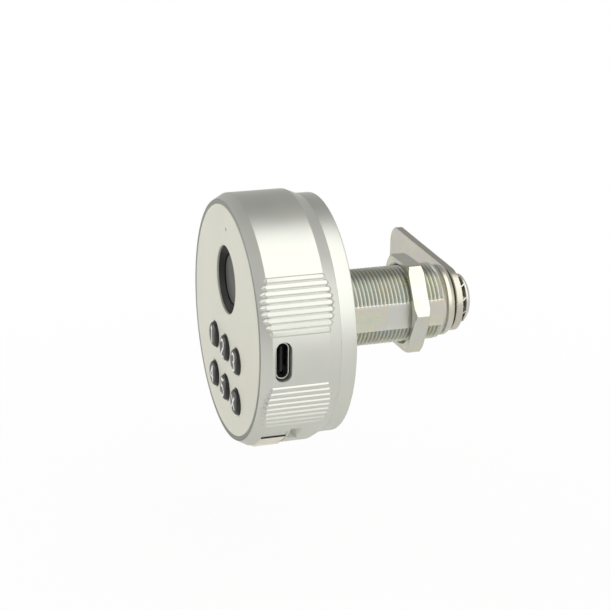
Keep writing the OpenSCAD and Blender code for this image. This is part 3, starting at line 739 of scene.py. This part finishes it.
def numeral(key):
    """Strokes of the sign on a key. A stroke is a flat bar carried along its path, with its top
    0.03 mm over the dome and its underside sunk in it."""
    low, high = span(key)
    centre = ((low[0] + high[0]) / 2, (low[2] + high[2]) / 2)
    half = 0.3
    section = [(-half, 0.06), (-half, -0.015), (0, -0.03), (half, -0.015), (half, 0.06)]
    parts = []
    for path in STROKES[key]:
        along = np.gradient(path, axis=0)
        along /= np.linalg.norm(along, axis=1)[:, None]
        side = np.stack([-along[:, 1], along[:, 0]], -1)
        rings = []
        for across, depth in section:
            flat = path + side * across
            y = dome_y(np.linalg.norm(flat, axis=1)) + depth
            rings.append(np.stack([centre[0] + flat[:, 0], y, centre[1] + flat[:, 1]], -1))
        parts.append(loft("stroke", np.array(rings).transpose(1, 0, 2), 40))
    return joined(key + "_sign", parts, 40)


# Port, tray and rear base

def port_sleeve():
    """Steel tube of the port with a rounded mouth and a closed back."""
    y = (PORT_LOW[1] + PORT_HIGH[1]) / 2
    half_long = (PORT_HIGH[2] - PORT_LOW[2]) / 2
    half_short = (PORT_HIGH[1] - PORT_LOW[1]) / 2
    x0, x1 = PORT_LOW[0], PORT_HIGH[0]
    wall = 0.3
    sections = [(x0, half_long, half_short), (x1 - 0.12, half_long, half_short),
                (x1 - 0.03, half_long - 0.04, half_short - 0.04),
                (x1, half_long - wall / 2, half_short - wall / 2),
                (x1 - 0.03, half_long - wall + 0.04, half_short - wall + 0.04),
                (x1 - 0.12, half_long - wall, half_short - wall),
                (x0 + 0.8, half_long - wall, half_short - wall)]
    return slot_loft("port_sleeve", sections, y, 35)


def port_insert():
    """Black body at the bottom of the port with its contact tongue."""
    low, high = span("port_tongue")
    y = (PORT_LOW[1] + PORT_HIGH[1]) / 2
    half_long = (high[2] - low[2]) / 2
    half_short = (high[1] - low[1]) / 2
    tongue = 3.2
    core = slot_loft("core", [(low[0], half_long, half_short), (low[0] + 1.6, half_long, half_short)], y)
    blade = slot_loft("blade", [(low[0] + 1, tongue, 0.35), (high[0] - 0.3, tongue, 0.35),
                                (high[0], tongue - 0.2, 0.15)], y)
    return joined("port_insert", [core, blade])


def tray_carrier():
    """Tray: the cap is a slice of the head's cylinder, and the shelf behind it holds the cell."""
    cap_r = HEAD_R - 0.1
    cap_in = HEAD_R - WALL + 0.3
    half = TRAY_HIGH[0] - TRAY_GAP
    shelf = 13.85
    y0, y1 = TRAY_LOW[1], TRAY_HIGH[1]
    edge = 0.25
    rings = []
    for y, inset in ((y0, edge), (y0 + edge * 0.3, edge * 0.3), (y0 + edge, 0),
                     (y1 - edge, 0), (y1 - edge * 0.3, edge * 0.3), (y1, edge)):
        outer_r = cap_r - inset
        reach = math.asin((half - inset) / outer_r)
        t = np.linspace(-reach, reach, 61)
        outer = np.stack([outer_r * np.sin(t), np.full(61, y), -outer_r * np.cos(t)], -1)
        reach = math.asin((half - inset) / cap_in)
        t = np.linspace(reach, -reach, 61)
        inner = np.stack([cap_in * np.sin(t), np.full(61, y), -cap_in * np.cos(t)], -1)
        rings.append(np.concatenate([outer, inner]))
    cap = loft("cap", np.array(rings))
    plate = block("shelf", (-shelf, y0, -cap_in - 0.4), (shelf, y1, TRAY_HIGH[2]))
    cell_low, cell_high = span("coin_cell")
    cell_r = (cell_high[0] - cell_low[0]) / 2
    cell_z = (cell_high[2] + cell_low[2]) / 2
    floor = cell_low[1]
    well = lathe("well", [(0, floor, 0), (cell_r + 0.2, floor, 0), (cell_r + 0.2, y1 + 1, 0),
                          (0, y1 + 1, 0)], 128, (0, cell_z))
    notch = block("notch", (-cell_r / 2, floor, cell_z), (cell_r / 2, y1 + 1, TRAY_HIGH[2] + 1))
    return joined("tray_carrier", [cap, carve(plate, [well, notch])])


def return_spring():
    """Return spring of the pin: rings of the wire's round section along a helix, from the collar of the
    pin up to the bracket."""
    low, high = span("clutch_spring")
    mean = (high[0] - low[0]) / 2 - SPRING_WIRE
    turn = np.linspace(0, 2 * math.pi * SPRING_TURNS, SPRING_TURNS * 32 + 1)[:, None]
    around = np.linspace(0, 2 * math.pi, 12, endpoint=False)[None, :]
    r = mean + SPRING_WIRE * np.cos(around)
    climb = (high[2] - low[2] - 2 * SPRING_WIRE) * turn / turn[-1, 0]
    rings = np.stack([(low[0] + high[0]) / 2 + r * np.cos(turn), (low[1] + high[1]) / 2 + r * np.sin(turn),
                      low[2] + SPRING_WIRE * (1 + np.sin(around)) + climb], -1)
    return loft("return_spring", rings)


def rear_flange():
    """Fixed base: neck with its clip groove, flange with rounded rims, and the gasket groove."""
    neck = BARREL_R + 2.5
    groove = neck - 0.8
    front = SHELL_BACK + 0.02
    seal_low, seal_high = span("base_gasket")
    seal_out = seal_high[0]
    seal_in = seal_out - 4
    return lathe("rear_flange", [
        (BARREL_R, NECK_FRONT, 0), (groove, NECK_FRONT, 0.1), (neck, NECK_FRONT + 0.4, 0.1),
        (neck, CLIP_FRONT - 0.05, 0.1), (groove, CLIP_FRONT - 0.05, 0.1), (groove, CLIP_BACK + 0.05, 0.1),
        (neck, CLIP_BACK + 0.05, 0.1), (neck, front, 0.3), (RIM_R, front, 0), (RIM_R, 0, 0.35),
        (seal_out, 0, 0.1), (seal_out, seal_low[1], 0), (seal_in, seal_low[1], 0), (seal_in, 0, 0.1),
        (BARREL_R, 0, 0)], 256)


# Barrel, nut and cam

def thread_rows(start, end):
    """Rows of a thread in millimetres along the helix: foot, crest, crest, foot for each turn, from
    one turn before start to one turn after end, with the share of the depth at each."""
    turns = np.arange(math.floor(start / THREAD_PITCH), math.ceil(end / THREAD_PITCH) + 2)
    marks = np.array([0.0, 0.10, 0.42, 0.55, 0.90])
    depth = np.array([1.0, 0.92, 0.0, 0.0, 0.92])
    rows = (turns[:, None] + marks[None, :]).ravel() * THREAD_PITCH
    return rows, np.tile(depth, len(turns))


def threaded_barrel():
    """r(t, v) is the crest radius less the thread depth at v, and a point lies at y = v - pitch t / 2 pi,
    held between the ends. Over the two flats, where |cos t| > flat / crest, r = flat / |cos t|. The
    thread fades out within a few degrees of the edges of the flats and at its end."""
    bore = SPINDLE_R + 0.05
    edge = math.degrees(math.acos(BARREL_FLAT / BARREL_R))
    fade = 3.0
    start = NECK_FRONT
    steps = np.concatenate([np.linspace(-edge, edge, 9), edge + np.array([0.8, 1.6, fade])])
    arc_steps = np.linspace(edge + fade, 180 - edge - fade, 48)[1:-1]
    side = np.concatenate([steps, arc_steps, 180 - edge - np.array([fade, 1.6, 0.8])])
    turn = np.concatenate([side, side + 180])
    rows, depth = thread_rows(start, THREAD_END)
    y = np.clip(rows[:, None] - THREAD_PITCH * turn[None, :] / 360, start, THREAD_END)
    off_flat = np.abs((turn + 90) % 180 - 90)
    strength = np.clip((off_flat - edge) / fade, 0, 1)
    run_out = np.clip((THREAD_END - 1.2 - y) / 1.2, 0, 1)
    r = BARREL_R - THREAD_DEPTH * depth[:, None] * strength[None, :] * run_out
    r = np.minimum(r, BARREL_R - np.clip(y - THREAD_END + 1.6, 0, 2) * 0.7)
    flat = BARREL_FLAT / np.cos(np.radians(np.minimum(off_flat, edge)))
    r = np.where(off_flat[None, :] <= edge + 1e-6, np.minimum(r, flat[None, :]), r)
    tail = rounded([(TAIL_R, THREAD_END, 0), (TAIL_R, BARREL_END - TAIL_BEVEL, 0.15),
                    (TAIL_R - TAIL_BEVEL * 0.6, BARREL_END, 0.15), (bore, BARREL_END, 0.1), (bore, start, 0.1)])
    inner_r = np.repeat(tail[:, 0][:, None], len(turn), 1)
    inner_y = np.repeat(tail[:, 1][:, None], len(turn), 1)
    inner_r = np.minimum(inner_r, np.where(off_flat <= edge, flat, 99)[None, :])
    r = np.concatenate([r, inner_r])
    y = np.concatenate([y, inner_y])
    t = np.radians(turn)[None, :]
    points = np.stack([r * np.cos(t), y, r * np.sin(t)], -1)
    return tidy_mesh("threaded_barrel", points.reshape(-1, 3), quads(*r.shape, True, True), 32)


def hex_nut():
    """For each angle t the side lies at R = (half across flats) / cos(angle from the flat's middle).
    Both faces are cut back by a 30 degree cone, so the side's height falls where R is large."""
    across = (BARREL_R + 1.6)
    corner = across / math.cos(math.pi / 6)
    drop = 0.5
    cone = corner - drop / math.tan(math.pi / 6)
    hole = BARREL_R + 0.05
    sink = 0.6
    turn = np.arange(0, 360, 2.5) + NUT_TURN
    from_flat = np.radians((turn - NUT_TURN) % 60 - 30)
    side = across / np.cos(from_flat) - 0.12 * (np.abs(from_flat) > math.radians(29.9))
    cut = np.maximum(0, side - cone) * math.tan(math.pi / 6)
    ones = np.ones(len(turn))
    rows = [(hole * ones, (NUT_FRONT + sink) * ones), ((hole + sink) * ones, NUT_FRONT * ones),
            (np.minimum(cone, side) - 0.08, NUT_FRONT * ones),
            (np.minimum(cone, side), NUT_FRONT + 0.03 * ones), (side, NUT_FRONT + cut + 0.03),
            (side, NUT_BACK - cut - 0.03), (np.minimum(cone, side), NUT_BACK - 0.03 * ones),
            (np.minimum(cone, side) - 0.08, NUT_BACK * ones), ((hole + sink) * ones, NUT_BACK * ones),
            (hole * ones, (NUT_BACK - sink) * ones)]
    r = np.array([row[0] for row in rows])
    y = np.array([row[1] for row in rows])
    t = np.radians(turn)[None, :]
    points = np.stack([r * np.cos(t), y, r * np.sin(t)], -1)
    return tidy_mesh("hex_nut", points.reshape(-1, 3), quads(*r.shape, True, True), 18)


def cam_outline(inset):
    """Loop of the cam less an inset: a half circle about the barrel axis and two rounded corners at the
    far end, as (x, z), always with the same count of points."""
    half = CAM_HALF - inset
    corner = CAM_CORNER - inset
    far = CAM_REACH - CAM_CORNER
    hub = arc(0, 0, half, half, -90, 90, 49)
    upper = arc(-far, CAM_HALF - CAM_CORNER, corner, corner, 90, 180, 25)
    lower = arc(-far, -CAM_HALF + CAM_CORNER, corner, corner, 180, 270, 25)
    return np.concatenate([hub, upper, lower])


def square_loop(half, like):
    """Square of half side, with one point in the direction of each point of a loop."""
    angle = np.arctan2(like[:, 1], like[:, 0])
    reach = half / np.maximum(np.abs(np.cos(angle)), np.abs(np.sin(angle)))
    reach = np.minimum(reach, SPINDLE_R + 0.05)
    return np.stack([reach * np.cos(angle), reach * np.sin(angle)], -1)


def cam_blade():
    """Stamped plate: loops of the outline from face to face, rounded on the struck side and sharper
    on the other, then down through the square hole."""
    roll = 0.35
    loops = []
    for t in np.linspace(0, math.pi / 2, 6):
        loops.append((CAM_FRONT + roll * (1 - math.sin(t)), cam_outline(roll * (1 - math.cos(t)))))
    loops = loops[::-1]
    loops += [(CAM_BACK - 0.12, cam_outline(0)), (CAM_BACK, cam_outline(0.12))]
    hole = square_loop(SQUARE_W / 2 + 0.05, cam_outline(0))
    loops += [(CAM_BACK, hole), (CAM_FRONT, hole)]
    rings = np.array([np.stack([loop[:, 0], np.full(len(loop), y), loop[:, 1]], -1) for y, loop in loops])
    faces = quads(len(loops), rings.shape[1], True, True)
    return tidy_mesh("cam_blade", rings.reshape(-1, 3), faces, 25)


HEAD_UNDER = SCREW_END - 1.75


def toothed_washer():
    """Ring of spring sheet whose teeth are twisted, each tooth a small bar lofted from the ring out. The
    teeth fill the space between the cam and the head of the bolt."""
    teeth = 12
    ring_r = SCREW_HEAD_R - 1.3
    sheet = 0.3
    mid = (CAM_BACK + HEAD_UNDER) / 2
    twist = math.radians(-52)
    tooth = (HEAD_UNDER - CAM_BACK - sheet * math.cos(twist)) / 2 / math.sin(-twist)
    out_r = span("star_washer")[1][2] + 0.3
    parts = [lathe("ring", [(2.65, mid - sheet / 2, 0.08), (ring_r, mid - sheet / 2, 0),
                            (ring_r, mid + sheet / 2, 0), (2.65, mid + sheet / 2, 0.08)], 96)]
    for i in range(teeth):
        rings = []
        for r, share, half in ((ring_r - 0.3, 0.2, tooth * 0.7), (ring_r + 0.3, 0.85, tooth * 0.95),
                               (out_r - 0.15, 1.0, tooth), (out_r, 1.0, tooth * 0.85)):
            c, s = math.cos(twist * share), math.sin(twist * share)
            flat = [(-half, -sheet / 2), (half, -sheet / 2), (half, sheet / 2), (-half, sheet / 2)]
            rings.append([(r, mid + b * c - a * s, a * c + b * s) for a, b in flat])
        turn = Matrix.Rotation(2 * math.pi * (i + 0.5) / teeth, 3, "Y")
        points = np.array(rings) @ np.array(turn).T
        parts.append(loft("tooth", points))
    return joined("toothed_washer", parts)


def cam_bolt():
    """Screw: plain shank, low domed head and a cross slot."""
    under = HEAD_UNDER
    shank = 2.45
    bolt = lathe("cam_bolt", [
        (0, SCREW_FRONT, 0), (shank, SCREW_FRONT, 0.4), (shank, under, 0), (SCREW_HEAD_R, under, 0.15),
        (SCREW_HEAD_R, under + 0.55, 0.4), (SCREW_HEAD_R - 0.9, SCREW_END - 0.45, 0.8),
        (SCREW_HEAD_R - 2.5, SCREW_END, 1.2), (0, SCREW_END, 0)], 128)
    slots = []
    for turn in (0, math.pi / 2):
        rings = []
        for y, half_long, half_wide in ((SCREW_END + 0.5, 2.7, 0.62), (SCREW_END - 1.5, 1.5, 0.42)):
            c, s = math.cos(turn), math.sin(turn)
            flat = [(-half_long, -half_wide), (half_long, -half_wide), (half_long, half_wide),
                    (-half_long, half_wide)]
            rings.append([(a * c - b * s, y, a * s + b * c) for a, b in flat])
        slots.append(loft("slot", np.array(rings)))
    return carve(bolt, slots)


# Stage

def photo_camera():
    """Camera at the angle of the photograph. Its axes come from azimuth, elevation and roll."""
    azimuth, elevation, roll = map(math.radians, (CAMERA_AZIMUTH, CAMERA_ELEVATION, CAMERA_ROLL))
    back = Vector((math.sin(azimuth) * math.cos(elevation), -math.cos(azimuth) * math.cos(elevation),
                   math.sin(elevation)))
    right = Vector((math.cos(azimuth), math.sin(azimuth), 0))
    up = back.cross(right)
    right, up = (right * math.cos(roll) + up * math.sin(roll), up * math.cos(roll) - right * math.sin(roll))
    data = bpy.data.cameras.new("camera")
    data.lens = CAMERA_LENS
    data.sensor_width = 36
    data.shift_x, data.shift_y = CAMERA_SHIFT
    data.clip_start = 0.01
    camera = bpy.data.objects.new("camera", data)
    pose = Matrix((right, up, back)).transposed().to_4x4()
    pose.translation = back * CAMERA_DISTANCE * MM
    camera.matrix_world = pose
    bpy.context.scene.collection.objects.link(camera)
    bpy.context.scene.camera = camera


def softbox(name, direction, distance, width, height, radiance):
    """Area lamp aimed at the origin. Its power is radiance x pi x area."""
    data = bpy.data.lights.new(name, "AREA")
    data.shape = "RECTANGLE"
    data.size = width
    data.size_y = height
    data.energy = radiance * math.pi * width * height
    lamp = bpy.data.objects.new(name, data)
    toward = Vector(direction).normalized()
    lamp.location = toward * distance
    lamp.rotation_euler = toward.to_track_quat("Z", "Y").to_euler()
    bpy.context.scene.collection.objects.link(lamp)
    return lamp


# Bright parts of the room: direction, half angles of the full and of the fading part, level
ROOM_LEVEL = 0.46
ROOM_PANELS = [((0.14, 0.30, 0.94), 14, 34, 1.62), ((0.60, 0.30, 0.74), 14, 34, 1.62),
               ((0.85, 0.30, 0.44), 12, 35, 1.54), ((0.90, 0.35, -0.05), 5, 40, 0.86),
               ((0.42, 0.88, 0.20), 12, 36, 1.05), ((0.30, 0.30, -0.90), 20, 60, 0.50),
               ((-0.89, 0.38, -0.30), 6, 22, 1.00)]
# Grey card over the head: direction, half angles of its full and of its fading part, what it lets by
ROOM_CARD = ((-0.66, 0.15, 0.70), 12, 44, 0.62)


def room_light(tree):
    """Radiance of the room by direction d: the largest of the room's level and of each panel's level,
    which fades smoothly between the cosines of its two half angles."""
    direction = node(tree, "ShaderNodeTexCoord").outputs["Generated"]
    level = None
    for centre, full, fading, peak in ROOM_PANELS:
        lobe = lobe_about(tree, direction, centre, full, fading, ROOM_LEVEL, peak)
        if level is None:
            level = lobe
            continue
        brighter = node(tree, "ShaderNodeMath", operation="MAXIMUM")
        tree.links.new(level, brighter.inputs[0])
        tree.links.new(lobe, brighter.inputs[1])
        level = brighter.outputs["Value"]
    shaded = node(tree, "ShaderNodeMath", operation="MULTIPLY")
    centre, full, fading, passed = ROOM_CARD
    tree.links.new(level, shaded.inputs[0])
    tree.links.new(lobe_about(tree, direction, centre, full, fading, 1.0, passed), shaded.inputs[1])
    return shaded.outputs["Value"]


def lobe_about(tree, direction, centre, full, fading, around, within):
    """Value that is within up to the full half angle from a centre, and around beyond the fading one."""
    facing = node(tree, "ShaderNodeVectorMath", operation="DOT_PRODUCT")
    facing.inputs[1].default_value = Vector(centre).normalized()
    tree.links.new(direction, facing.inputs[0])
    lobe = node(tree, "ShaderNodeMapRange", interpolation_type="SMOOTHSTEP")
    lobe.inputs["From Min"].default_value = math.cos(math.radians(fading))
    lobe.inputs["From Max"].default_value = math.cos(math.radians(full))
    lobe.inputs["To Min"].default_value = around
    lobe.inputs["To Max"].default_value = within
    tree.links.new(facing.outputs["Value"], lobe.inputs["Value"])
    return lobe.outputs["Result"]


def studio():
    """Pale floor, white surroundings for the camera, a room with bright panels and a front lamp."""
    world = bpy.data.worlds.new("studio")
    bpy.context.scene.world = world
    world.use_nodes = True
    tree = world.node_tree
    room = tree.nodes["Background"]
    room.inputs["Color"].default_value = (1.0, 1.0, 0.97, 1)
    tree.links.new(room_light(tree), room.inputs["Strength"])
    seen = node(tree, "ShaderNodeBackground")
    seen.inputs["Color"].default_value = (1, 1, 1, 1)
    seen.inputs["Strength"].default_value = 1.0
    mix = node(tree, "ShaderNodeMixShader")
    tree.links.new(seen_share(tree, 0.0), mix.inputs["Fac"])
    tree.links.new(room.outputs["Background"], mix.inputs[1])
    tree.links.new(seen.outputs["Background"], mix.inputs[2])
    tree.links.new(mix.outputs["Shader"], tree.nodes["World Output"].inputs["Surface"])
    softbox("front_softbox", (-0.45, -0.88, 0.12), 0.8, 0.7, 0.7, 2.3)
    pale_floor()


def seen_share(tree, in_metal):
    """Share of the plain white that a ray sees: all of it for the camera and through clear pieces, and
    the share in_metal in a reflection. The room has its own white backdrop for reflections."""
    path = node(tree, "ShaderNodeLightPath")
    straight = node(tree, "ShaderNodeMath", operation="MAXIMUM")
    tree.links.new(path.outputs["Is Camera Ray"], straight.inputs[0])
    tree.links.new(path.outputs["Is Transmission Ray"], straight.inputs[1])
    mirrored = node(tree, "ShaderNodeMath", operation="MULTIPLY")
    mirrored.inputs[1].default_value = in_metal
    tree.links.new(path.outputs["Is Glossy Ray"], mirrored.inputs[0])
    either = node(tree, "ShaderNodeMath", operation="MAXIMUM")
    tree.links.new(straight.outputs["Value"], either.inputs[0])
    tree.links.new(mirrored.outputs["Value"], either.inputs[1])
    return either.outputs["Value"]


def pale_floor():
    """Floor under the head, low enough for the tray at the end of its slide. The camera sees it near
    white with the shadow in it, and it fades into the white surroundings within a quarter of a metre."""
    reach = 600
    z = -HEAD_R - TRAY_TRAVEL - 1
    corners = [(-reach, -reach, z), (reach, -reach, z), (reach, reach, z), (-reach, reach, z)]
    mesh = bpy.data.meshes.new("floor")
    mesh.from_pydata((np.array(corners) * MM).tolist(), [], [(0, 1, 2, 3)])
    floor = bpy.data.objects.new("floor", mesh)
    bpy.context.scene.collection.objects.link(floor)
    material = bpy.data.materials.new("pale_floor")
    material.use_nodes = True
    tree = material.node_tree
    paint = tree.nodes["Principled BSDF"]
    paint.inputs["Base Color"].default_value = (0.82, 0.82, 0.80, 1)
    paint.inputs["Roughness"].default_value = 0.7
    glow = node(tree, "ShaderNodeEmission")
    glow.inputs["Strength"].default_value = 1.0
    clear = node(tree, "ShaderNodeBsdfTransparent")
    path = node(tree, "ShaderNodeLightPath")
    place = node(tree, "ShaderNodeTexCoord")
    flat = node(tree, "ShaderNodeVectorMath", operation="LENGTH")
    tree.links.new(place.outputs["Object"], flat.inputs[0])
    share = node(tree, "ShaderNodeMath", operation="MULTIPLY")
    share.inputs[1].default_value = 0.95
    tree.links.new(seen_share(tree, 0.12), share.inputs[0])
    lit = node(tree, "ShaderNodeMixShader")
    tree.links.new(share.outputs[0], lit.inputs["Fac"])
    tree.links.new(paint.outputs["BSDF"], lit.inputs[1])
    tree.links.new(glow.outputs["Emission"], lit.inputs[2])
    far = node(tree, "ShaderNodeMapRange", interpolation_type="SMOOTHSTEP")
    far.inputs["From Min"].default_value = 0.07
    far.inputs["From Max"].default_value = 0.24
    tree.links.new(flat.outputs["Value"], far.inputs["Value"])
    fade = node(tree, "ShaderNodeMath", operation="MULTIPLY")
    tree.links.new(far.outputs["Result"], fade.inputs[0])
    tree.links.new(path.outputs["Is Camera Ray"], fade.inputs[1])
    out = node(tree, "ShaderNodeMixShader")
    tree.links.new(fade.outputs[0], out.inputs["Fac"])
    tree.links.new(lit.outputs["Shader"], out.inputs[1])
    tree.links.new(clear.outputs["BSDF"], out.inputs[2])
    tree.links.new(out.outputs["Shader"], tree.nodes["Material Output"].inputs["Surface"])
    floor.data.materials.append(material)


photo_camera()
studio()

settle(knob_housing(), "knob", SATIN, "knob_shell")
settle(face_disc(), "knob", CREAM, "face_plate")
settle(sensor_ring(), "knob", SENSOR_BLACK, "sensor_bezel")
settle(sensor_window(), "knob", SENSOR_PAD, "sensor_pad")
settle(status_light(), "knob", LIGHT_LENS, "light_pipe")
settle(port_sleeve(), "knob", BRIGHT_STEEL, "port_shell")
settle(port_insert(), "knob", MOULDED_BLACK, "port_tongue")
settle(tray_carrier(), "tray", TRAY_CREAM, "battery_tray")
spring = settle(return_spring(), "knob", BRIGHT_STEEL, "clutch_spring")
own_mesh(spring)
settle(rear_flange(), "base", SATIN, "rear_base")
settle(threaded_barrel(), "base", THREAD, "barrel")
settle(hex_nut(), "base", PLATED, "mounting_nut")
settle(cam_blade(), "spindle_train", CAM_PLATED, "cam_plate")
settle(toothed_washer(), "spindle_train", PLATED, "star_washer")
settle(cam_bolt(), "spindle_train", PLATED, "cam_screw")
for key in KEYS:
    settle(key_dome(key), key + "_body", KEY_BLACK, key)
    settle(numeral(key), key + "_body", NUMERAL)

for name, material in CARRIED_FINISHES.items():
    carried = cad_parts[name]
    carried.data.materials.clear()
    carried.data.materials.append(material)
